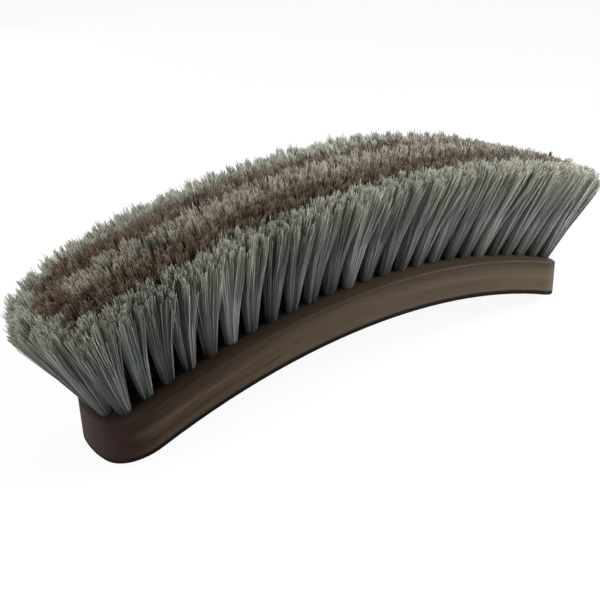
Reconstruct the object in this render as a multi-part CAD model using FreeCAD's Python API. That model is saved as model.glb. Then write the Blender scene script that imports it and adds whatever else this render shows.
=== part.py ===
import FreeCAD, Part
import math
import os
from collections import namedtuple

# Shoe shine brush: an arched wooden block with rows of hair tufts on its outer curve.
# The block rests on its two ends with the hair up. X runs along the brush, Y across it,
# Z up; the origin is under the middle of the brush, on the surface that it rests on.
# All lengths are in millimetres.

# Wooden block: a curved bar with upright sides, ends that bow outwards in plan, and eased edges
block_length = 200.0
block_width = 38.0
block_thickness = 13.5
underside_radius = 257.2
end_bow = 4.0
plan_corner_radius = 14.0
edge_round = 0.8

# Blind holes in the outer curve, one for each tuft; the drill leans part of the way that the tuft does
hole_diameter = 4.6
hole_depth = 8.5
end_margin = 3.6
side_margin = 8.4
nominal_tuft_pitch = 7.9
drill_lean_share = 0.4

# Hair tufts: a round stub in the hole, a quick spread above it, then a slower flare to the tips.
# The tip widths are those of the rows at the middle of the brush; the splays are how much further
# the end tufts reach at their tips than at the block; the rounding narrows the rows at both ends.
# The middle row stands highest, and the drops are how much lower the other rows' tips are.
hair_height = 39.4
tip_arc_radius = 321.0
stub_height = 2.0
spread_height = 16.0
tuft_gap = 0.8
inner_tip_drop = 1.4
outer_tip_drop = 2.6
middle_tip_width = 10.2
inner_tip_width = 13.0
outer_tip_width = 9.0
middle_end_splay = 20.2
inner_end_splay = 16.5
outer_end_splay = 11.9
tip_rounding_run = 29.0
tip_rounding_length = 45.0
tuft_corner_share = 0.86

# Flat wire anchors, driven across each tuft's fold and biting into the wall of its hole
anchor_thickness = 0.5
anchor_height = 2.0
anchor_bite = 0.35
fold_thickness = 0.9

# Fits
root_clearance = 0.1
seat_clearance = 0.1
anchor_clearance = 0.05
cut_overrun = 5.0

# Worked out from the sizes above
half_length = block_length / 2
top_radius = underside_radius + block_thickness
foot_height = math.sqrt((underside_radius + edge_round) ** 2 - (half_length - edge_round) ** 2)
arch_centre_z = edge_round - foot_height
top_z = arch_centre_z + top_radius
tip_centre_z = top_z + hair_height - tip_arc_radius
end_reach = top_radius * math.asin((half_length - end_margin) / top_radius)
half_row_tufts = round(end_reach / nominal_tuft_pitch + 1 / 2)
tuft_pitch = end_reach / (half_row_tufts - 1 / 2)
outer_reach = end_reach - tuft_pitch / 2
tip_field_reach = end_reach + middle_end_splay
row_pitch = (block_width / 2 - side_margin) / 2
root_radius = hole_diameter / 2 - root_clearance
round_corner_share = math.cos(math.pi / 4)

Vector = FreeCAD.Vector
Row = namedtuple("Row", "side colour base_y tip_y tip_drop tip_width count base_reach tip_reach")
Tuft = namedtuple("Tuft", "base tip axis along across base_angle tip_angle base_pitch tip_pitch tip_width")


def brush_rows():
    """The five rows from front to back; the inner ones reach further along the block than the outer ones."""
    inner_y = (middle_tip_width + inner_tip_width) / 2
    outer_y = inner_y + (inner_tip_width + outer_tip_width) / 2
    inner_count = 2 * half_row_tufts
    outer_count = inner_count - 1
    outer = (outer_tip_drop, outer_tip_width, outer_count, outer_reach, outer_reach + outer_end_splay)
    inner = (inner_tip_drop, inner_tip_width, inner_count, end_reach, end_reach + inner_end_splay)
    middle = (0, middle_tip_width, outer_count, end_reach, tip_field_reach)
    return [
        Row("front", "grey", -2 * row_pitch, -outer_y, *outer),
        Row("front", "brown", -row_pitch, -inner_y, *inner),
        Row("middle", "grey", 0, 0, *middle),
        Row("back", "brown", row_pitch, inner_y, *inner),
        Row("back", "grey", 2 * row_pitch, outer_y, *outer),
    ]


def on_arc(radius, centre_z, angle, y):
    """A point on an arc about the Y direction; the angle is zero at the top."""
    return Vector(radius * math.sin(angle), y, centre_z + radius * math.cos(angle))


def along_arc(angle):
    """The direction along such an arc, towards +X."""
    return Vector(math.cos(angle), 0, -math.sin(angle))


def tip_narrowing(reach):
    """How much of its width the brush of tips keeps at this distance from the middle of the arc."""
    past_start = reach - (tip_field_reach - tip_rounding_run)
    return 1 / (1 + (max(past_start, 0) / tip_rounding_length) ** 2)


def lay_out_tuft(row, index):
    """Where one tuft leaves the block and where its tips end, with the directions of its hole."""
    last = row.count - 1
    share = (2 * index - last) / last
    base_angle = share * row.base_reach / top_radius
    tip_angle = share * row.tip_reach / tip_arc_radius
    narrowing = tip_narrowing(abs(share) * row.tip_reach)
    base = on_arc(top_radius, arch_centre_z, base_angle, row.base_y)
    tip = on_arc(tip_arc_radius - row.tip_drop, tip_centre_z, tip_angle, row.tip_y * narrowing)
    square = Vector(math.sin(base_angle), 0, math.cos(base_angle))
    lean = (tip - base).normalize() - square
    axis = (square + lean * drill_lean_share).normalize()
    across = axis.cross(along_arc(base_angle)).normalize()
    along = across.cross(axis)
    base_pitch = 2 * row.base_reach / last
    tip_pitch = 2 * row.tip_reach / last
    tip_width = row.tip_width * narrowing
    return Tuft(base, tip, axis, along, across, base_angle, tip_angle, base_pitch, tip_pitch, tip_width)


def section(centre, along, across, half_along, half_across, corner_share):
    """A closed outline of four arcs: a circle, or a square with bulging sides."""
    side = [along * half_along, across * half_across]
    sides = [side[0], side[1], -side[0], -side[1]]
    corners = [(sides[k] + sides[(k + 1) % 4]) * corner_share for k in range(4)]
    edges = []
    for k in range(4):
        points = [corners[k - 1], sides[k], corners[k]]
        arc = Part.Arc(*[centre + point for point in points])
        edges.append(arc.toShape())
    return Part.Wire(edges)


def tuft_solid(tuft):
    """One hair bundle: root and stub are round, the rest fills its share of the row."""
    root_depth = hole_depth - seat_clearance
    root_end = tuft.base - tuft.axis * root_depth
    stub_end = tuft.base + tuft.axis * stub_height
    round_size = (tuft.along, tuft.across, root_radius, root_radius, round_corner_share)

    spread_share = spread_height / hair_height
    spread_angle = tuft.base_angle + (tuft.tip_angle - tuft.base_angle) * spread_share
    spread_pitch = tuft.base_pitch + (tuft.tip_pitch - tuft.base_pitch) * spread_share
    spread_width = row_pitch + (tuft.tip_width - row_pitch) * spread_share
    spread_centre = tuft.base + (tuft.tip - tuft.base) * spread_share

    across = Vector(0, 1, 0)
    outlines = [
        section(root_end, *round_size),
        section(stub_end, *round_size),
        section(spread_centre, along_arc(spread_angle), across, (spread_pitch - tuft_gap) / 2,
                (spread_width - tuft_gap) / 2, tuft_corner_share),
        section(tuft.tip, along_arc(tuft.tip_angle), across, (tuft.tip_pitch - tuft_gap) / 2,
                (tuft.tip_width - tuft_gap) / 2, tuft_corner_share),
    ]
    bundle = Part.makeLoft(outlines, True, True)
    return bundle.cut(anchor_plate(tuft, anchor_clearance))


def anchor_plate(tuft, clearance):
    """The flat wire across a tuft's fold, or with a clearance the room that it needs."""
    half_run = tuft.along * (hole_diameter / 2 + anchor_bite + clearance)
    half_wall = tuft.across * (anchor_thickness / 2 + clearance)
    depth = hole_depth - seat_clearance - fold_thickness + clearance
    foot = tuft.base - tuft.axis * depth
    corners = [foot - half_run - half_wall, foot + half_run - half_wall,
               foot + half_run + half_wall, foot - half_run + half_wall]
    face = Part.Face(Part.makePolygon(corners + corners[:1]))
    return face.extrude(tuft.axis * (anchor_height + 2 * clearance))


def tuft_hole(tuft):
    """The drilled hole of one tuft, with the two nicks that its anchor bites into the wood."""
    bottom = tuft.base - tuft.axis * hole_depth
    bore = Part.makeCylinder(hole_diameter / 2, hole_depth + cut_overrun, bottom, tuft.axis)
    return bore.fuse(anchor_plate(tuft, anchor_clearance))


def plan_outline():
    """The block seen from above, below its feet: two straight sides and two ends that bow outwards."""
    side_end = half_length - end_bow
    half_width = block_width / 2
    level = -cut_overrun
    front_left = Vector(-side_end, -half_width, level)
    front_right = Vector(side_end, -half_width, level)
    back_right = Vector(side_end, half_width, level)
    back_left = Vector(-side_end, half_width, level)
    right_end = Part.Arc(front_right, Vector(half_length, 0, level), back_right)
    left_end = Part.Arc(back_left, Vector(-half_length, 0, level), front_left)
    front = Part.makeLine(front_left, front_right)
    back = Part.makeLine(back_right, back_left)
    return Part.Wire([front, right_end.toShape(), back, left_end.toShape()])


def arch_blank():
    """The curved bar before drilling, with all its outer edges eased."""
    blank_height = top_z + 2 * cut_overrun
    bar = Part.Face(plan_outline()).extrude(Vector(0, 0, blank_height))
    upright = [edge for edge in bar.Edges if is_upright(edge)]
    bar = bar.makeFillet(plan_corner_radius, upright)

    roll_start = Vector(0, -block_width, arch_centre_z)
    roll_length = 2 * block_width
    outside = Part.makeCylinder(top_radius, roll_length, roll_start, Vector(0, 1, 0))
    inside = Part.makeCylinder(underside_radius, roll_length, roll_start, Vector(0, 1, 0))
    arch = bar.common(outside).cut(inside)
    rims = [edge for edge in arch.Edges if not is_upright(edge)]
    return arch.makeFillet(edge_round, rims)


def is_upright(edge):
    """True for an edge that starts off up or down rather than sideways."""
    run = edge.tangentAt(edge.FirstParameter)
    return abs(run.z) > abs(run.x) + abs(run.y)


def tuft_node(row, index, tuft):
    """The name of the group that a tuft belongs to: grey all round, then a brown ring inside it."""
    from_end = min(index, row.count - 1 - index)
    end = "left" if tuft.base.x < 0 else "right"
    if from_end == 0 and abs(row.base_y) < 2 * row_pitch:
        return end + "_end_grey_tufts"
    if from_end == 1 and row.side == "middle":
        return end + "_end_brown_tuft"
    third = "middle"
    if abs(2 * index - row.count + 1) > row.count / 3:
        third = end
    return row.side + "_" + row.colour + "_tufts_" + third


def build_brush():
    """All pieces, as lists of solids by node name."""
    pieces = {}
    holes = []
    for row in brush_rows():
        for index in range(row.count):
            tuft = lay_out_tuft(row, index)
            hair = tuft_solid(tuft)
            anchor = anchor_plate(tuft, 0)
            holes.append(tuft_hole(tuft))
            pieces.setdefault(tuft_node(row, index, tuft), []).append(hair)
            pieces.setdefault(row.side + "_" + row.colour + "_anchors", []).append(anchor)
    pieces["wooden_block"] = [arch_blank().cut(holes)]
    return pieces


def main():
    os.makedirs("parts", exist_ok=True)
    for node, shapes in build_brush().items():
        solids = [solid for shape in shapes for solid in shape.Solids]
        node_shape = solids[0] if len(solids) == 1 else Part.makeCompound(solids)
        node_shape.exportStep("parts/" + node + ".step")
        volume = sum(solid.Volume for solid in solids)
        print(node, len(solids), "solids,", round(volume), "mm3, valid", node_shape.isValid())


main()
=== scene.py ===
# %% [markdown]
# # A shoe shine brush
# The brush is an arched block of stained wood with 127 tufts of animal hair on its outer curve. The solids
# come from a CAD model and stay where they are; this lesson gives them their looks. The block and the
# wire anchors only need good materials. A CAD tuft is a plain bundle shape, so every tuft is replaced by
# real hairs, and that takes most of the lesson.

# %% Load the brush
import bpy
import math
import numpy as np
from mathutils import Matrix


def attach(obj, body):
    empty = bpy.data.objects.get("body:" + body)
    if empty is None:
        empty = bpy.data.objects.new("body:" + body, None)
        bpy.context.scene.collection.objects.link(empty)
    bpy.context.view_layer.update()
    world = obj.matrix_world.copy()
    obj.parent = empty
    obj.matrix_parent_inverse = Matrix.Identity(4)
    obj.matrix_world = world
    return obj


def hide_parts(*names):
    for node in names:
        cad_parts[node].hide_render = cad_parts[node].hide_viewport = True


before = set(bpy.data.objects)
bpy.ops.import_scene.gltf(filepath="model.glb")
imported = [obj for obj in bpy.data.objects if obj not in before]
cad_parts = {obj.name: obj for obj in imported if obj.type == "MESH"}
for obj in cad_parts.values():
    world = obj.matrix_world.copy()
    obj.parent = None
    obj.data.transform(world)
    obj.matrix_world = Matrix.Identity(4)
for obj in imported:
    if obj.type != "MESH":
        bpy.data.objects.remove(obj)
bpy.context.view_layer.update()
mm = 0.001

# %% [markdown]
# ## A short way to write shader maths
# Materials here are node trees. Placing nodes by hand hides the idea behind them, so one small class
# wraps a node's output socket. Sums on it add Math nodes, and every other kind of node comes from its
# one `node` method.


# %% The socket wrapper
class Signal:
    """One output of a node tree; arithmetic on it adds Math nodes to the same tree."""

    def __init__(self, tree, output=None):
        self.tree = tree
        self.output = output

    def node(self, kind, settings, inputs, output=0):
        """Add a node: its settings first, then the values or links of its sockets."""
        made = self.tree.nodes.new(kind)
        for name, value in settings.items():
            if name == "stops":
                self.set_stops(made.color_ramp, value)
            else:
                setattr(made, name, value)
        for name, value in inputs.items():
            if isinstance(value, Signal):
                self.tree.links.new(value.output, made.inputs[name])
            else:
                made.inputs[name].default_value = value
        return Signal(self.tree, made.outputs[output]) if made.outputs else made

    @staticmethod
    def set_stops(ramp, stops):
        """Give a colour ramp its stops, each a place from 0 to 1 and a colour."""
        while len(ramp.elements) < len(stops):
            ramp.elements.new(1.0)
        for element, (place, colour) in zip(ramp.elements, stops):
            element.position = place
            element.color = colour

    def math(self, operation, first, second=0.0):
        """Add one Math node."""
        return self.node("ShaderNodeMath", {"operation": operation}, {0: first, 1: second})

    def __add__(self, other):
        return self.math("ADD", self, other)

    def __radd__(self, other):
        return self.math("ADD", other, self)

    def __sub__(self, other):
        return self.math("SUBTRACT", self, other)

    def __rsub__(self, other):
        return self.math("SUBTRACT", other, self)

    def __mul__(self, other):
        return self.math("MULTIPLY", self, other)

    def __rmul__(self, other):
        return self.math("MULTIPLY", other, self)

    def __pow__(self, other):
        return self.math("POWER", self, other)


# %% Helpers that every finish uses
def linear(red, green, blue):
    """A colour as seen on a screen, 0 to 255, as the linear light that shaders use."""
    screen = np.array([red, green, blue]) / 255
    light = np.where(screen <= 0.04045, screen / 12.92, ((screen + 0.055) / 1.055) ** 2.4)
    return (*light.tolist(), 1.0)


def mix(factor, first, second):
    """The first colour where the factor is 0, the second where it is 1."""
    return factor.node("ShaderNodeMix", {"data_type": "RGBA"}, {0: factor, 6: first, 7: second}, 2)


def fade(value, start, end):
    """0 before start, 1 after end, and a smooth step between them."""
    inputs = {"Value": value, "From Min": start, "From Max": end}
    return value.node("ShaderNodeMapRange", {"interpolation_type": "SMOOTHSTEP"}, inputs)


def noise(vector, scale, detail):
    """Soft random values about one half, with features about one part in scale long."""
    inputs = {"Vector": vector, "Scale": scale, "Detail": detail}
    return vector.node("ShaderNodeTexNoise", {}, inputs)


def new_material(name):
    """An empty material with an output, a principled shader and a signal to start from."""
    material = bpy.data.materials.new(name)
    material.use_nodes = True
    tree = material.node_tree
    shader = tree.nodes["Principled BSDF"]
    return material, shader, Signal(tree)


def plug(signal, socket):
    """Feed a shader's socket from a signal."""
    signal.tree.links.new(signal.output, socket)


print("Shader helpers ready")

# %% [markdown]
# ## The stage
# A catalogue picture shows the brush on pure white. The floor could simply be lit until it burns out, but
# that would wash out the brush too. Light Path tells a shader what kind of ray has reached it, so here the
# camera and mirror rays find a white floor and world, and the light that falls on the brush stays plain.

# %% World and floor
light_grey = (0.29, 0.30, 0.32, 1.0)
white = (1.0, 1.0, 1.0, 1.0)
floor_half_side = 4.0
floor_bounce = (0.22, 0.22, 0.22, 1.0)
floor_own_white = 0.92


def seen_directly(start):
    """1 for camera, mirror and see-through rays, 0 for the rays that carry light."""
    seen = 0.0
    for kind in ("Is Camera Ray", "Is Glossy Ray", "Is Transmission Ray"):
        ray = start.node("ShaderNodeLightPath", {}, {}, kind)
        seen = start.math("MAXIMUM", seen, ray)
    return seen


def make_world():
    """White to look at, and a soft even light for the brush."""
    world = bpy.data.worlds.new("studio_world")
    world.use_nodes = True
    tree = world.node_tree
    tree.nodes.clear()
    start = Signal(tree)
    light = start.node("ShaderNodeBackground", {}, {"Color": light_grey})
    backdrop = start.node("ShaderNodeBackground", {}, {"Color": white})
    both = start.node("ShaderNodeMixShader", {}, {0: seen_directly(start), 1: light, 2: backdrop})
    start.node("ShaderNodeOutputWorld", {}, {"Surface": both})
    bpy.context.scene.world = world


def floor_material():
    """Mostly its own white to look at, with the rest left to the light so that a shadow shows."""
    material = bpy.data.materials.new("pale_floor")
    material.use_nodes = True
    tree = material.node_tree
    tree.nodes.clear()
    start = Signal(tree)
    lit = start.node("ShaderNodeBsdfDiffuse", {}, {"Color": white})
    own = start.node("ShaderNodeEmission", {}, {"Color": white})
    shown = start.node("ShaderNodeMixShader", {}, {0: floor_own_white, 1: lit, 2: own})
    bounce = start.node("ShaderNodeBsdfDiffuse", {}, {"Color": floor_bounce})
    both = start.node("ShaderNodeMixShader", {}, {0: seen_directly(start), 1: bounce, 2: shown})
    start.node("ShaderNodeOutputMaterial", {}, {"Surface": both})
    return material


def make_floor():
    """One flat square at the height of the block's feet."""
    corners = floor_half_side * np.array([[-1, -1, 0], [1, -1, 0], [1, 1, 0], [-1, 1, 0]])
    mesh = bpy.data.meshes.new("floor")
    mesh.from_pydata(corners.tolist(), [], [[0, 1, 2, 3]])
    floor = bpy.data.objects.new("floor", mesh)
    bpy.context.scene.collection.objects.link(floor)
    mesh.materials.append(floor_material())


make_world()
make_floor()
bpy.context.scene.view_settings.view_transform = "Standard"
print("Floor", 2 * floor_half_side, "m wide")

# %% [markdown]
# ## Lamps
# In the photograph the right flank of every tuft is bright and the left end of the block is dark, so the
# main light is a soft box to the right, in front and above. One overhead lights the tips, one to the left
# keeps the near end of the hair grey instead of black, a small one lifts the far end, and one behind lights
# the side that the photograph does not show.


# %% Soft boxes
def soft_box(name, place, target, side, watts):
    """A square area lamp at a place, turned to face a target."""
    lamp = bpy.data.lights.new(name, "AREA")
    lamp.size = side
    lamp.energy = watts
    box = bpy.data.objects.new(name, lamp)
    bpy.context.scene.collection.objects.link(box)
    toward = np.array(target) - np.array(place)
    flat = math.hypot(toward[0], toward[1])
    box.location = place
    box.rotation_euler = (math.atan2(flat, -toward[2]), 0.0, math.atan2(-toward[0], toward[1]))


brush_middle = (0.0, 0.0, 0.035)
far_end = (0.1, -0.02, 0.05)
soft_box("key_box", place=(0.36, -0.24, 0.22), target=brush_middle, side=0.28, watts=2.9)
soft_box("top_box", place=(0.05, 0.10, 0.95), target=brush_middle, side=0.80, watts=2.95)
soft_box("left_box", place=(-0.75, -0.12, 0.36), target=brush_middle, side=0.50, watts=3.8)
soft_box("right_box", place=(0.32, -0.12, 0.15), target=far_end, side=0.12, watts=0.42)
soft_box("back_box", place=(-0.10, 0.80, 0.22), target=brush_middle, side=0.50, watts=2.6)
print("Lamps:", [light.name for light in bpy.data.lights])

# %% [markdown]
# ## The camera
# The camera's place was fitted to the outlines of the block and the hair in the photograph: it stands to
# the left of the front, a hand's length above the table, close enough to make the near end large.

# %% Camera at the photograph's place
camera_turn = math.radians(-35.81)
camera_height = math.radians(24.685)
camera_roll = math.radians(-1.847)
camera_distance = 330.36 * mm
camera_target = np.array([-15.79, 5.50, 24.64]) * mm
focal_pixels = 947.35
image_pixels = 600
sensor_width = 36.0


def place_camera():
    """Back from the target by the distance, at a turn about the vertical and a height above the floor."""
    back = np.array([
        math.sin(camera_turn) * math.cos(camera_height),
        -math.cos(camera_turn) * math.cos(camera_height),
        math.sin(camera_height),
    ])
    level_right = np.array([math.cos(camera_turn), math.sin(camera_turn), 0.0])
    level_up = np.cross(back, level_right)
    right = math.cos(camera_roll) * level_right + math.sin(camera_roll) * level_up
    up = math.cos(camera_roll) * level_up - math.sin(camera_roll) * level_right
    lens = bpy.data.cameras.new("camera")
    lens.sensor_width = sensor_width
    lens.lens = focal_pixels / image_pixels * sensor_width
    lens.clip_start = 10 * mm
    camera = bpy.data.objects.new("camera", lens)
    bpy.context.scene.collection.objects.link(camera)
    matrix = np.eye(4)
    matrix[:3, :3] = np.stack([right, up, back], axis=1)
    matrix[:3, 3] = camera_target + camera_distance * back
    camera.matrix_world = matrix.T.tolist()
    bpy.context.scene.camera = camera
    return camera


camera = place_camera()
print("Camera lens", round(camera.data.lens, 2), "mm")

# %% [markdown]
# ## Stained wood
# The block is cut along the arch and finished with a dark brown stain under satin varnish. Its streaks
# follow the arch, so the material works in coordinates that are bent with it: the distance round the arch,
# the distance across, and the distance from the arch's centre. Noise that is stretched along the first of
# these gives streaks, finer noise gives pores, and a little bump makes the varnish uneven. The same
# coordinates then paint light and shade into the stain: a painted sheen makes it paler towards the right
# end, painted shade darkens the face that carries the hair and its arris, painted shade turns the lower
# rim nearly black, and the end grain is darker and redder, partly from its stain and partly painted shade.

# %% Sizes of the arch, as in the CAD model
block_length = 200 * mm
block_width = 38 * mm
block_thickness = 13.5 * mm
underside_radius = 257.2 * mm
edge_round = 0.8 * mm
half_length = block_length / 2
top_radius = underside_radius + block_thickness
foot_height = math.sqrt((underside_radius + edge_round) ** 2 - (half_length - edge_round) ** 2)
arch_centre_z = edge_round - foot_height
top_z = arch_centre_z + top_radius
print("Arch centre is", round(-arch_centre_z / mm, 1), "mm under the floor")


# %% Coordinates bent with the arch
def coordinate(start, vector, axis):
    """One axis of a vector."""
    return start.node("ShaderNodeSeparateXYZ", {}, {"Vector": vector}, axis)


def arch_coordinates(start):
    """Distance round the arch, across it and out from its centre, in metres."""
    place = start.node("ShaderNodeTexCoord", {}, {}, "Object")
    x = coordinate(start, place, "X")
    height = coordinate(start, place, "Z") - arch_centre_z
    angle = start.math("ARCTAN2", x, height)
    radius = (x * x + height * height) ** 0.5
    return angle * top_radius, coordinate(start, place, "Y"), radius


def arch_noise(arch, scales, detail):
    """Noise in the bent coordinates, stretched by one scale for each of them."""
    round_arch, across, out = [axis * scale for axis, scale in zip(arch, scales)]
    stretched = out.node("ShaderNodeCombineXYZ", {}, {"X": round_arch, "Y": across, "Z": out})
    return noise(stretched, 1.0, detail)


top_run = 2 * top_radius * math.asin(half_length / top_radius)
print("The outer curve runs", round(top_run / mm, 1), "mm round the arch")

# %% Stain, streaks and pores
streak_scales = (9, 160, 330)
band_scales = (5, 45, 90)
pore_scales = (120, 1500, 1500)
mottle_scales = (40, 60, 60)
streak_share = 0.62
pore_range = (0.56, 0.72)
pore_weight = 0.55
pore_colour = linear(34, 26, 21)
stain_stops = [
    (0.30, linear(38, 29, 22)),
    (0.46, linear(62, 50, 39)),
    (0.56, linear(77, 63, 50)),
    (0.72, linear(104, 87, 70)),
]


def stained_grain(start, streaks, bands, pores):
    """A ramp over fine streaks and broad bands, darkened in the pores."""
    grain = streaks * streak_share + bands * (1 - streak_share)
    stain = start.node("ShaderNodeValToRGB", {"stops": stain_stops}, {"Fac": grain})
    return mix(pores * pore_weight, stain, pore_colour)


print("Stain ramp with", len(stain_stops), "tones")

# %% Painted light and shade over the stain
# Painted sheen: the stain turns paler towards the right end, standing in for the lamps' sheen on the
# varnish.
painted_sheen_range = (-95 * mm, 15 * mm)
painted_sheen_weight = 0.15
painted_sheen_colour = linear(132, 119, 100)
# Painted shade: darker on the face that carries the hair and down the top of the sides, where the tufts
# shade it.
painted_hair_shade_depths = (4.6 * mm, 1.0 * mm)
painted_hair_shade_weight = 0.60
# Painted shade on the arris, to dim the highlight that the lamps put on its round.
painted_arris_shade_depths = (1.2 * mm, 0.7 * mm, 0.2 * mm)
painted_arris_shade_weight = 0.15
painted_shade_colour = linear(30, 22, 17)
# Painted shade: the lower rim turns nearly black, as the rounded edge there turns away from the light.
painted_rim_shade_heights = (2.3 * mm, 1.4 * mm)
underside_slopes = (-0.88, -0.6)
painted_rim_shade_weight = 0.95
painted_rim_shade_colour = linear(8, 6, 5)
# Darker and redder on the ends: end grain takes more stain, and part of it is painted shade under the hair.
end_slopes = (0.2, 0.8)
end_grain_and_shade_weight = 0.9
end_grain_and_shade_colour = linear(40, 25, 24)


def painted_sheen_and_shade(grain, round_arch, out):
    """Painted sheen to the right; painted shade under the hair, near the outer curve and on the arris."""
    sheened = mix(fade(round_arch, *painted_sheen_range) * painted_sheen_weight, grain, painted_sheen_colour)
    hair_shade = fade(out, *[top_radius - depth for depth in painted_hair_shade_depths])
    start, full, end = [top_radius - depth for depth in painted_arris_shade_depths]
    arris = fade(out, start, full) * fade(out, top_radius, end)
    return mix(hair_shade * painted_hair_shade_weight + arris * painted_arris_shade_weight, sheened, painted_shade_colour)


def lower_rim(start, out, facing):
    """1 on the last of the sides above the underside, 0 on the underside itself."""
    not_under = fade(coordinate(start, facing, "Z"), *underside_slopes)
    return fade(out, *[underside_radius + height for height in painted_rim_shade_heights]) * not_under


# Where the painted sheen sets in, round the arch.
print("Wear sets in between", [round(place / mm) for place in painted_sheen_range], "mm round the arch")

# %% Wood material
plain_roughness = 0.52
mottle_roughness = 0.16
pore_roughness = 0.12
rim_roughness = 0.25
streak_relief = 0.5
pore_relief = 0.5
mottle_relief = 0.3
bump_strength = 0.10
bump_height = 0.3 * mm
varnish_shine = 0.09


def wood_material():
    """Streaks, pores and varnish over a dark stain."""
    material, shader, start = new_material("stained_wood_finish")
    arch = arch_coordinates(start)
    round_arch, _, out = arch
    streaks = arch_noise(arch, streak_scales, detail=5.0)
    bands = arch_noise(arch, band_scales, detail=2.0)
    pores = fade(arch_noise(arch, pore_scales, detail=3.0), *pore_range)
    mottle = arch_noise(arch, mottle_scales, detail=3.0)

    facing = start.node("ShaderNodeTexCoord", {}, {}, "Normal")
    rim = lower_rim(start, out, facing)
    topped = painted_sheen_and_shade(stained_grain(start, streaks, bands, pores), round_arch, out)
    # Painted shade along the lower rim.
    edged = mix(rim * painted_rim_shade_weight, topped, painted_rim_shade_colour)
    # End grain: its own darker stain and painted shade.
    endways = start.math("ABSOLUTE", coordinate(start, facing, "X"))
    plug(mix(fade(endways, *end_slopes) * end_grain_and_shade_weight, edged, end_grain_and_shade_colour), shader.inputs["Base Color"])

    rough = plain_roughness + mottle * mottle_roughness + pores * pore_roughness + rim * rim_roughness
    plug(rough, shader.inputs["Roughness"])
    relief = streaks * streak_relief - pores * pore_relief + mottle * mottle_relief
    bump_inputs = {"Strength": bump_strength, "Distance": bump_height, "Height": relief}
    plug(start.node("ShaderNodeBump", {}, bump_inputs), shader.inputs["Normal"])
    shader.inputs["Specular IOR Level"].default_value = varnish_shine
    return material


def finish_node(name, material):
    """Give a CAD node a better material in its own slot."""
    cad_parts[name].material_slots[0].material = material


finish_node("wooden_block", wood_material())
print("Wood finish on the block")

# %% [markdown]
# ## Wire anchors
# Each tuft is folded over a short flat wire that is driven into the wood. Hair covers the anchors, but
# whoever takes the model apart finds drawn steel, with fine marks along its length and grey patches.

# %% Steel material
scratch_scales = (500.0, 9000.0, 9000.0)
patch_scale = 900.0
patch_range = (0.4, 0.7)
bright_steel = linear(176, 176, 172)
dull_steel = linear(128, 126, 120)
steel_roughness = 0.28
scratch_roughness = 0.25


def steel_material():
    """Bright drawn wire with fine scratches and dull patches."""
    material, shader, start = new_material("drawn_steel_finish")
    place = start.node("ShaderNodeTexCoord", {}, {}, "Object")
    stretch = start.node("ShaderNodeMapping", {}, {"Vector": place, "Scale": scratch_scales})
    scratches = noise(stretch, 1.0, detail=3.0)
    patches = noise(place, patch_scale, detail=2.0)
    plug(mix(fade(patches, *patch_range), bright_steel, dull_steel), shader.inputs["Base Color"])
    plug(steel_roughness + scratches * scratch_roughness, shader.inputs["Roughness"])
    shader.inputs["Metallic"].default_value = 1.0
    return material


steel = steel_material()
anchor_nodes = [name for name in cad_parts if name.endswith("_anchors")]
for anchor_node in anchor_nodes:
    finish_node(anchor_node, steel)
print("Steel finish on", len(anchor_nodes), "groups of anchors")

# %% [markdown]
# ## Where the tufts stand
# The hair stands in five rows: grey, brown, grey, brown, grey. Their roots lie on the block's outer curve
# and their tips on a wider arc. The rows lean outwards, the end tufts lean further, and the field of tips
# narrows towards both ends. This cell repeats the CAD model's layout as arrays, one entry for each tuft.

# %% Sizes of the hair, as in the CAD model
end_margin = 3.6 * mm
side_margin = 8.4 * mm
nominal_tuft_pitch = 7.9 * mm
drill_lean_share = 0.4
hair_height = 39.4 * mm
tip_arc_radius = 321 * mm
inner_tip_drop = 1.4 * mm
outer_tip_drop = 2.6 * mm
middle_tip_width = 10.2 * mm
inner_tip_width = 13 * mm
outer_tip_width = 9 * mm
middle_end_splay = 20.2 * mm
inner_end_splay = 16.5 * mm
outer_end_splay = 11.9 * mm
tip_rounding_run = 29 * mm
tip_rounding_length = 45 * mm

tip_centre_z = top_z + hair_height - tip_arc_radius
end_reach = top_radius * math.asin((half_length - end_margin) / top_radius)
half_row_tufts = round(end_reach / nominal_tuft_pitch + 1 / 2)
tuft_pitch = end_reach / (half_row_tufts - 1 / 2)
outer_reach = end_reach - tuft_pitch / 2
tip_field_reach = end_reach + middle_end_splay
inner_count = 2 * half_row_tufts
outer_count = inner_count - 1
row_pitch = (block_width / 2 - side_margin) / 2
inner_y = (middle_tip_width + inner_tip_width) / 2
outer_y = inner_y + (inner_tip_width + outer_tip_width) / 2
outer_row = (outer_tip_drop, outer_tip_width, outer_count, outer_reach, outer_reach + outer_end_splay)
inner_row = (inner_tip_drop, inner_tip_width, inner_count, end_reach, end_reach + inner_end_splay)
middle_row = (0.0, middle_tip_width, outer_count, end_reach, tip_field_reach)
print("Tuft pitch", round(tuft_pitch / mm, 2), "mm, rows", round(row_pitch / mm, 2), "mm apart")


# %% Lay out the rows
def on_arc(radius, centre_z, angle, y):
    """Points on an arc about the Y direction; the angle is zero at the top."""
    y = np.broadcast_to(y, angle.shape)
    return np.stack([radius * np.sin(angle), y, centre_z + radius * np.cos(angle)], axis=-1)


def along_arc(angle):
    """The direction along such an arc, towards +X."""
    return np.stack([np.cos(angle), np.zeros_like(angle), -np.sin(angle)], axis=-1)


def unit(vectors):
    """The same directions, each with the length 1."""
    return vectors / np.linalg.norm(vectors, axis=-1, keepdims=True)


def tip_narrowing(reach):
    """The share of its width that the field of tips keeps at this distance from the middle."""
    past_start = reach - (tip_field_reach - tip_rounding_run)
    return 1 / (1 + (np.maximum(past_start, 0) / tip_rounding_length) ** 2)


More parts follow.
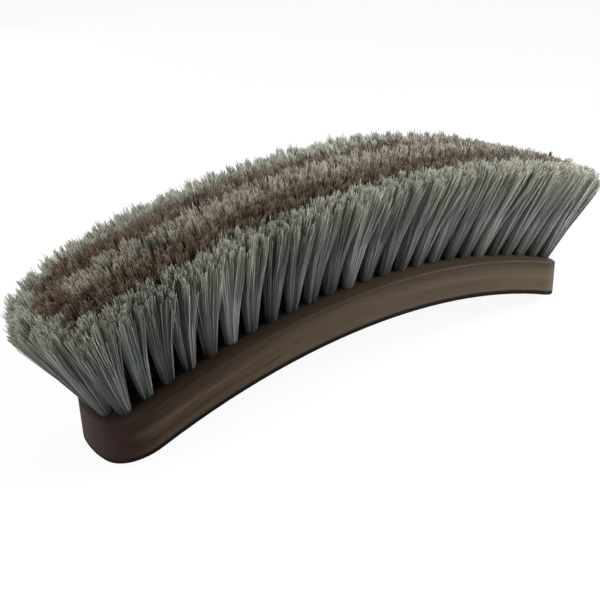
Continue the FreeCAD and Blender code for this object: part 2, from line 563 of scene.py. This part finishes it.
def tuft_node(side, colour, index, count):
    """The CAD node of one tuft: grey at both ends, then one brown tuft that closes the brown ring."""
    from_end = min(index, count - 1 - index)
    end = "left" if 2 * index < count - 1 else "right"
    if from_end == 0 and (side, colour) not in (("front", "grey"), ("back", "grey")):
        return end + "_end_grey_tufts"
    if from_end == 1 and side == "middle":
        return end + "_end_brown_tuft"
    third = end if abs(2 * index - count + 1) > count / 3 else "middle"
    return side + "_" + colour + "_tufts_" + third


def lay_out_row(side, colour, base_y, tip_y, tip_drop, tip_width, count, base_reach, tip_reach):
    """One row as arrays: places, directions, half sizes, row numbers and node names of its tufts."""
    share = np.linspace(-1, 1, count)
    base_angle = share * base_reach / top_radius
    tip_angle = share * tip_reach / tip_arc_radius
    narrowing = tip_narrowing(np.abs(share) * tip_reach)
    base = on_arc(top_radius, arch_centre_z, base_angle, base_y)
    tip = on_arc(tip_arc_radius - tip_drop, tip_centre_z, tip_angle, tip_y * narrowing)
    square = np.stack([np.sin(base_angle), np.zeros(count), np.cos(base_angle)], axis=-1)
    axis = unit(square + drill_lean_share * (unit(tip - base) - square))
    return {
        "base": base,
        "tip": tip,
        "axis": axis,
        "base_along": along_arc(base_angle),
        "tip_along": along_arc(tip_angle),
        "base_half": np.full((count, 2), [base_reach / (count - 1), row_pitch / 2]),
        "tip_half": np.stack([np.full(count, tip_reach / (count - 1)), tip_width * narrowing / 2], axis=-1),
        "end": np.sign(share) * (np.abs(share) == 1),
        "row": np.full(count, np.round(base_y / row_pitch)),
        "node": np.array([tuft_node(side, colour, index, count) for index in range(count)]),
    }


rows = [
    lay_out_row("front", "grey", -2 * row_pitch, -outer_y, *outer_row),
    lay_out_row("front", "brown", -row_pitch, -inner_y, *inner_row),
    lay_out_row("middle", "grey", 0.0, 0.0, *middle_row),
    lay_out_row("back", "brown", row_pitch, inner_y, *inner_row),
    lay_out_row("back", "grey", 2 * row_pitch, outer_y, *outer_row),
]
tufts = {field: np.concatenate([row[field] for row in rows]) for field in rows[0]}
print(len(tufts["node"]), "tufts in", len(set(tufts["node"])), "groups")

# %% [markdown]
# ## From a tuft to single hairs
# A tuft is a folded bundle of several hundred hairs. A hair could be a particle or a curve, but an exported
# part needs plain meshes. A hair has two coordinates inside its tuft, each from -1 to 1. They place it in
# the round root, in the spread middle and in the nearly square patch of tips, so the tuft opens like a real
# one. Chance alone would leave bald spots, so the coordinates advance by golden steps.

# %% Places in a tuft
plastic_number = 1.324717957244746
golden_steps = np.array([1 / plastic_number, 1 / plastic_number ** 2])
jitter_share = 0.5


def spread_evenly(tuft_count, hair_count, random):
    """Even coverage of the square from -1 to 1: golden steps with a random start for each tuft.

    A hair is moved off its place by a share of the mean distance to the next one.
    """
    steps = np.arange(hair_count)[:, None] * golden_steps
    starts = random.random((tuft_count, 1, 2))
    jitter = random.normal(0, jitter_share / math.sqrt(hair_count), (tuft_count, hair_count, 2))
    return 2 * ((steps + starts + jitter) % 1) - 1


def square_to_disc(places):
    """A place in the square, moved to the disc: each coordinate shrinks as the other one grows."""
    shrink = np.sqrt(1 - places[..., ::-1] ** 2 / 2)
    return places * shrink


print("Golden steps:", golden_steps.round(4))

# %% [markdown]
# ## Locks and strays
# Hairs that touch cling together in small pointed locks. That could be simulated, but it is enough to give
# each hair to the nearest of some random centres: it is drawn to that centre as it rises, and the lock
# leans as one. Each hair also wavers on its own, and a few stray.

# %% Locks
locks_per_tuft = 32
lock_field = 0.95
lock_lean = 0.60 * mm
hair_waver = 0.42 * mm
stray_share = 0.012
stray_gain = 2.5


def of_lock(values, lock):
    """Each hair's value: that of the lock it belongs to, in its own tuft."""
    tuft = np.arange(len(lock))[:, None]
    return values[tuft, lock]


def gather_locks(places, random):
    """The lock that each hair belongs to, the nearest of some random centres, and that centre."""
    centres = random.uniform(-lock_field, lock_field, (len(places), locks_per_tuft, 2))
    gaps = np.linalg.norm(places[:, :, None] - centres[:, None], axis=-1)
    lock = gaps.argmin(axis=2)
    return lock, of_lock(centres, lock)


def tip_sway(lock, random):
    """How far each tip is moved aside: the lean of its lock, and its own waver, larger on strays."""
    stray = np.where(random.random(lock.shape) < stray_share, stray_gain, 1.0)
    waver = random.normal(0, hair_waver, (*lock.shape, 3)) * stray[..., None]
    lean = random.normal(0, lock_lean, (len(lock), locks_per_tuft, 3))
    return of_lock(lean, lock) + waver


print("Locks:", locks_per_tuft, "in each tuft, leaning by", round(lock_lean / mm, 2), "mm")

# %% [markdown]
# ## How the brush is trimmed
# A maker clips the tips to a smooth arch when all the tufts are in, and use then wears them. The CAD tufts
# end on that arch. Here the front row droops a little at its edge, each tuft has a rounded top, some hairs
# stay short, and each row is longer or shorter along the brush, as its outline in the photograph shows.

# %% Lengths of the hairs
front_row_number = -2
back_row_number = 2
trim_places = np.array([-115, -85, -40, 20, 70, 115]) * mm
front_row_trim = np.array([0.4, 0.7, 0.7, 0.4, 0.7, 0.6]) * mm
inner_row_trim = np.array([-0.3, 0.4, 0.2, -0.2, 0.0, -1.7]) * mm
back_row_trim = np.array([-0.4, 0.8, 1.2, 2.1, 1.3, -2.0]) * mm
front_droop_share = 0.06
end_droop_share = 0.05
dome_share = 0.045
dome_level = 0.17
lock_length_share = 0.007
hair_length_share = 0.008
short_hair_share = 0.16
short_hair_power = 3


def trimmed_length(group):
    """How much longer than its CAD solid each tuft's hairs are, from its row and place along the brush."""
    x = group["tip"][:, 0]
    front = np.interp(x, trim_places, front_row_trim)
    inner = np.interp(x, trim_places, inner_row_trim)
    back = np.interp(x, trim_places, back_row_trim)
    in_front = group["row"] == front_row_number
    at_back = group["row"] == back_row_number
    return np.where(at_back, back, np.where(in_front, front, inner))


def rolled_edge(group, places):
    """The share of its length that a hair loses at the front edge, at both ends and at its tuft's flanks.

    Each loss grows with the square of the hair's place; inside the dome's level the last one is a gain.
    """
    droop = np.where(group["row"] == front_row_number, front_droop_share, 0.0)[:, None]
    past_front = np.maximum(-places[..., 1], 0) ** 2
    past_end = np.maximum(places[..., 0] * group["end"][:, None], 0) ** 2
    off_top = places[..., 0] ** 2 - dome_level
    return droop * past_front + end_droop_share * past_end + dome_share * off_top


def hair_lengths(group, places, lock, random):
    """The share of its tuft's height that each hair reaches.

    It is 1 + its lock's difference + its own - the loss at rolled edges + the trim of its tuft. A power of
    a random number makes a few hairs much shorter and leaves most as they are.
    """
    lock_length = random.normal(0, lock_length_share, (len(lock), locks_per_tuft))
    own_length = random.normal(0, hair_length_share, lock.shape)
    own_length = own_length - short_hair_share * random.random(lock.shape) ** short_hair_power
    trim = (trimmed_length(group) / hair_height)[:, None]
    return 1 + of_lock(lock_length, lock) + own_length - rolled_edge(group, places) + trim


print("Trim of the back row in mm:", (back_row_trim / mm).round(1))

# %% [markdown]
# ## How the colour varies
# Natural hair is never of one colour. Each hair gets a tone, from dark to pale, which differs from row to
# row, from tuft to tuft and from hair to hair. The brown and middle rows are also grizzled: some of their
# hairs are greyer, more of them towards the right end. Grizzling comes in a few whole levels, so that one
# number can hold both the level and the tone.

# %% Tone and grizzling
front_row_tone = np.array([-0.02, -0.12, 0.01, 0.07, 0.09, 0.25])
inner_row_tone = np.array([0.05, 0.0, 0.04, -0.07, -0.15, -0.22])
middle_tone = 0.5
lock_tone_spread = 0.08
tuft_tone_spread = 0.06
hair_tone_spread = 0.12
grizzle_levels = 4
grizzle_starts = -15 * mm
grizzle_full = 85 * mm
grizzle_along_share = 0.48
grizzle_patch_share = 0.32
grizzle_patch_power = 1.5


def tone_of_place(group):
    """How much paler the hair of each tuft is than the average, from its row and place along the brush."""
    x = group["tip"][:, 0]
    front = np.interp(x, trim_places, front_row_tone)
    inner = np.interp(x, trim_places, inner_row_tone)
    return np.where(group["row"] == front_row_number, front, inner)[:, None]


def grizzle_of_place(group, random):
    """How grizzled each tuft is, 0 to 1: a smooth step towards the right end, and a chance of its own."""
    x = group["tip"][:, :1]
    along = np.clip((x - grizzle_starts) / (grizzle_full - grizzle_starts), 0, 1)
    along = along * along * (3 - 2 * along)
    patch = random.random(x.shape) ** grizzle_patch_power
    return grizzle_along_share * along + grizzle_patch_share * patch


def hair_colours(group, lock, random):
    """Each hair's tone from 0, dark, to 1, pale, and its level of grizzling, a whole number."""
    lock_tone = random.normal(0, lock_tone_spread, (len(lock), locks_per_tuft))
    tuft_tone = random.normal(0, tuft_tone_spread, (len(lock), 1))
    own_tone = random.normal(0, hair_tone_spread, lock.shape)
    tone = middle_tone + tone_of_place(group) + tuft_tone + of_lock(lock_tone, lock) + own_tone
    level = grizzle_of_place(group, random) * (grizzle_levels - 1) + random.random(lock.shape)
    level = np.clip(np.floor(level), 0, grizzle_levels - 1)
    return np.stack([np.clip(tone, 0.0, 1.0), level], axis=-1).reshape(-1, 2)


print("Grizzling from", round(grizzle_starts / mm), "to", round(grizzle_full / mm), "mm along the brush")

# %% [markdown]
# ## The lines of the hairs
# Four points make a hair: its root a little way down the hole, a ring half way up, a ring just below the
# tip, and the tip. The tuft fills more of its room the higher it gets, and at the four corners of the brush
# the tips fan out further, because no neighbour holds them there.

# %% Points along each hair
root_sink = 1.5 * mm
foot_radius = 1.85 * mm
ring_heights = np.array([0.48, 0.985])
ring_fill = np.array([0.80, 1.14, 1.16])
lock_pull = 0.50
corner_fan = np.array([0.55, 0.5])


def corner_stretch(group, places):
    """At the four corners the tips fan out: end tufts of outer rows lengthways, of inner rows sideways."""
    at_end = np.abs(group["end"])
    outer = np.abs(group["row"]) == back_row_number
    lengthways = places[..., 0] * (group["end"] * outer)[:, None] > 0
    sideways = places[..., 1] * (group["row"] * at_end * ~outer)[:, None] > 0
    return 1 + np.stack([lengthways, sideways], axis=-1) * corner_fan


def hair_roots(group, disc):
    """A disc square to the hole's axis, a little way down the hole."""
    along = group["base_along"][:, None]
    across = np.cross(group["axis"], group["base_along"])[:, None]
    sunk = (group["base"] - root_sink * group["axis"])[:, None]
    return sunk + foot_radius * (disc[..., :1] * along + disc[..., 1:] * across)


def tuft_points(group, level, shape):
    """The tuft's centre line at a level, plus two coordinates times its half sizes, along and across."""
    level = level[..., None]
    line = group["base"][:, None] + (group["tip"] - group["base"])[:, None] * level
    half = group["base_half"][:, None] + (group["tip_half"] - group["base_half"])[:, None] * level
    along = unit(group["base_along"] + group["tip_along"])[:, None]
    across = np.array([0.0, 1.0, 0.0])
    sideways = shape * half
    return line + sideways[..., :1] * along + sideways[..., 1:] * across


def hair_lines(group, hair_count, random):
    """Four points along each hair, from root to tip, and each hair's tone and level of grizzling.

    A point is the tuft's at the hair's place, with the place drawn towards its lock's centre and the point
    moved by the tip's sway, both by the square of the height.
    """
    places = spread_evenly(len(group["base"]), hair_count, random)
    lock, centre = gather_locks(places, random)
    disc = square_to_disc(places)
    sway = tip_sway(lock, random)
    reach = hair_lengths(group, places, lock, random)
    fan = corner_stretch(group, places)
    points = [hair_roots(group, disc)]
    for height, fill in zip([*ring_heights, 1.0], ring_fill):
        bunched = places + height ** 2 * lock_pull * (centre - places)
        rounded = disc + (bunched - disc) * height
        ring = tuft_points(group, reach * height, rounded * fill * fan)
        points.append(ring + sway * height ** 2)
    lines = np.stack(points, axis=2).reshape(-1, len(points), 3)
    return lines, hair_colours(group, lock, random)


print("A hair's rings are at", ring_heights, "of its height")

# %% [markdown]
# ## Tubes round the lines
# A hair that is repeated a hundred thousand times has to be cheap: a three-sided tube with a ring at its
# root, the two rings above it and a point has sixteen triangles. Its UV map, named OFBake, says what the
# colour needs.

# %% Tubes round the hairs
sides = 3
ring_radii = np.array([0.085, 0.120, 0.120]) * mm
tone_width = 0.006
tone_margin = 0.02


def tube_faces():
    """The sixteen triangles of one tube: a root cap, two bands of six and the pointed end."""
    turn = np.arange(sides)
    following = (turn + 1) % sides
    faces = [np.array([[0, 2, 1]])]
    for ring in range(len(ring_radii) - 1):
        low = ring * sides
        high = low + sides
        faces.append(np.stack([low + turn, low + following, high + following], axis=1))
        faces.append(np.stack([low + turn, high + following, high + turn], axis=1))
    last = (len(ring_radii) - 1) * sides
    point = np.full(sides, last + sides)
    faces.append(np.stack([last + turn, last + following, point], axis=1))
    return np.concatenate(faces)


def tube_corners(points, colour, random):
    """Ring corners = centre + radius x (cosine x one side direction + sine x the other), and UVs.

    U = (level of grizzling + tone) / number of levels, with the tone a little wider from corner to corner;
    V runs from 0 at the root to 1 at the tip.
    """
    hair_count = len(points)
    run = unit(points[:, -1] - points[:, 0])
    first = unit(np.cross(run, random.normal(size=(hair_count, 3))))
    second = np.cross(run, first)
    turn = np.arange(sides) * 2 * math.pi / sides
    circle = first[:, None] * np.cos(turn)[:, None] + second[:, None] * np.sin(turn)[:, None]
    rings = points[:, :-1, None] + ring_radii[:, None, None] * circle[:, None]
    corners = np.concatenate([rings.reshape(hair_count, -1, 3), points[:, -1:]], axis=1)
    height = np.concatenate([[0.0], ring_heights, [1.0]])
    v = np.concatenate([np.repeat(height[:-1], sides), height[-1:]])
    tone_step = np.concatenate([np.tile(np.arange(sides), len(ring_radii)), [1]]) * tone_width
    tone = tone_margin + colour[:, :1] * (1 - 2 * tone_margin - sides * tone_width) + tone_step
    u = (colour[:, 1:] + tone) / grizzle_levels
    return corners.reshape(-1, 3), np.stack(np.broadcast_arrays(u, v), axis=-1).reshape(-1, 2)


def hair_mesh(name, points, colour, random):
    """One mesh with a tube for every hair."""
    corners, uvs = tube_corners(points, colour, random)
    corners_per_hair = len(ring_radii) * sides + 1
    starts = np.arange(len(points)) * corners_per_hair
    faces = (starts[:, None, None] + tube_faces()).reshape(-1, 3)
    mesh = bpy.data.meshes.new(name)
    mesh.vertices.add(len(corners))
    mesh.vertices.foreach_set("co", corners.astype(np.float32).ravel())
    mesh.loops.add(faces.size)
    mesh.loops.foreach_set("vertex_index", faces.astype(np.int32).ravel())
    mesh.polygons.add(len(faces))
    mesh.polygons.foreach_set("loop_start", np.arange(0, faces.size, 3, dtype=np.int32))
    mesh.update(calc_edges=True)
    layer = mesh.uv_layers.new(name="OFBake")
    layer.uv.foreach_set("vector", uvs[faces.ravel()].astype(np.float32).ravel())
    mesh.polygons.foreach_set("use_smooth", np.ones(len(faces), dtype=bool))
    return mesh


print("A hair has", len(tube_faces()), "triangles")

# %% [markdown]
# ## Hair colours
# The brush mixes two kinds of hair. Both turn to paler, slightly yellow tips, and no two hairs are alike;
# the grey row between the brown ones is warmer than the outside. Painted shade darkens each hair from its
# root: the outer grey rows at the foot only, the middle and brown rows over most of the shaft, where shadow
# falls between the tufts. A painted light makes pale hairs paler near the foot. The mesh already carries
# what the material needs in its UV map: U holds each hair's level of grizzling and its tone, and V is the
# height. The material takes U apart again, and ramps over the tone and blends over V give every hair its
# colour. A noise in space would not do, because it would change along a hair.

# %% Hair materials
# Painted shade at the root, up to a height set for each finish.
painted_root_shade_colour = linear(14, 13, 12)
# Painted light: pale hairs paler near the foot, for the light on the tufts' lower flanks.
painted_foot_light_tones = (0.45, 0.85)
painted_foot_light_heights = (0.65, 0.15)
painted_foot_light_gain = 0.24
pale_tip_heights = (0.55, 1.0)
pale_tip_tones = (0.15, 0.45)
foot_roughness = 0.62
tip_roughness = 0.50
smooth_heights = (0.2, 0.8)
hair_shine = 0.35


def hair_material(name, tones, grizzled_tones, tip_colour, tip_weight, painted_shade_to):
    """A ramp over the hair's tone, with painted shade from the root up to a height, turning to the tip
    colour.

    U times the number of levels is the level of grizzling, its whole part, plus the tone. A grizzled hair
    takes the colours of a second ramp, in part or in full. Pale hairs get painted light near the foot.
    """
    material, shader, start = new_material(name)
    place = start.node("ShaderNodeUVMap", {"uv_map": "OFBake"}, {})
    packed = coordinate(start, place, "X") * grizzle_levels
    level = start.math("FLOOR", packed)
    tone = packed - level
    height = coordinate(start, place, "Y")

    # Painted light near the foot.
    painted_foot_light = fade(tone, *painted_foot_light_tones) * fade(height, *painted_foot_light_heights)
    shaft_tone = tone + painted_foot_light * painted_foot_light_gain
    own = start.node("ShaderNodeValToRGB", {"stops": tones}, {"Fac": shaft_tone})
    grizzled = start.node("ShaderNodeValToRGB", {"stops": grizzled_tones}, {"Fac": shaft_tone})
    shaft = mix(level * (1 / (grizzle_levels - 1)), own, grizzled)
    pale_tip = fade(height, *pale_tip_heights) * tip_weight * fade(tone, *pale_tip_tones)
    tipped = mix(pale_tip, shaft, tip_colour)
    # Painted shade from the root up.
    shaded = mix(fade(height, -painted_shade_to, painted_shade_to), painted_root_shade_colour, tipped)
    plug(shaded, shader.inputs["Base Color"])

    smooth = fade(height, *smooth_heights)
    plug(foot_roughness - smooth * (foot_roughness - tip_roughness), shader.inputs["Roughness"])
    shader.inputs["Specular IOR Level"].default_value = hair_shine
    return material


# %% The three finishes of the hair
grey_tones = [
    (0.0, linear(30, 30, 29)),
    (0.25, linear(86, 90, 89)),
    (0.60, linear(140, 144, 142)),
    (1.0, linear(196, 196, 190)),
]
warm_grey_tones = [
    (0.0, linear(28, 25, 22)),
    (0.25, linear(86, 80, 71)),
    (0.60, linear(144, 137, 124)),
    (1.0, linear(198, 192, 178)),
]
brown_tones = [
    (0.0, linear(18, 12, 10)),
    (0.25, linear(56, 42, 34)),
    (0.60, linear(98, 80, 66)),
    (1.0, linear(174, 157, 136)),
]
hair_finishes = {
    # How far up painted shade reaches is the last value; on the brown and middle rows it stands for the
    # shadow between the tufts.
    "grey": hair_material("grey_hair_finish", grey_tones, grey_tones,
                          tip_colour=linear(196, 193, 172), tip_weight=0.55, painted_shade_to=0.08),
    "warm_grey": hair_material("warm_grey_hair_finish", warm_grey_tones, grey_tones,
                               tip_colour=linear(186, 178, 158), tip_weight=0.6, painted_shade_to=0.72),
    "brown": hair_material("brown_hair_finish", brown_tones, warm_grey_tones,
                           tip_colour=linear(132, 114, 93), tip_weight=0.36, painted_shade_to=0.80),
}
print("Hair finishes:", list(hair_finishes))

# %% [markdown]
# ## Grow the hair
# One mesh takes the place of each CAD node of tufts. Rows that show from the side get more hairs than the
# middle row, of which only the tips can be seen. A fixed seed makes the brush the same every time.

# %% One piece for each group of tufts
hairs_per_tuft = {"front_grey": 900, "back_grey": 900, "front_brown": 980, "back_brown": 980,
                  "middle_grey": 760, "left_end": 1150, "right_end": 1150}
seed = 7


def grow_hair(node, number):
    """The hairs of all tufts of one CAD node, which they replace."""
    chosen = tufts["node"] == node
    group = {field: values[chosen] for field, values in tufts.items()}
    random = np.random.default_rng([seed, number])
    kind = "_".join(node.split("_")[:2])
    points, hair_colour = hair_lines(group, hairs_per_tuft[kind], random)
    name = node.replace("tufts", "hair").replace("tuft", "hair")
    mesh = hair_mesh(name, points, hair_colour, random)
    colour = "brown" if "brown" in node else "grey"
    finish = "warm_grey" if kind == "middle_grey" else colour
    mesh.materials.append(hair_finishes[finish])
    piece = bpy.data.objects.new(name, mesh)
    bpy.context.scene.collection.objects.link(piece)
    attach(piece, "root")
    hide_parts(node)
    colour + "_hair"
    return len(mesh.polygons)


triangles = [grow_hair(node, number) for number, node in enumerate(sorted(set(tufts["node"])))]
print("Hair triangles:", sum(triangles), "the largest piece", max(triangles))
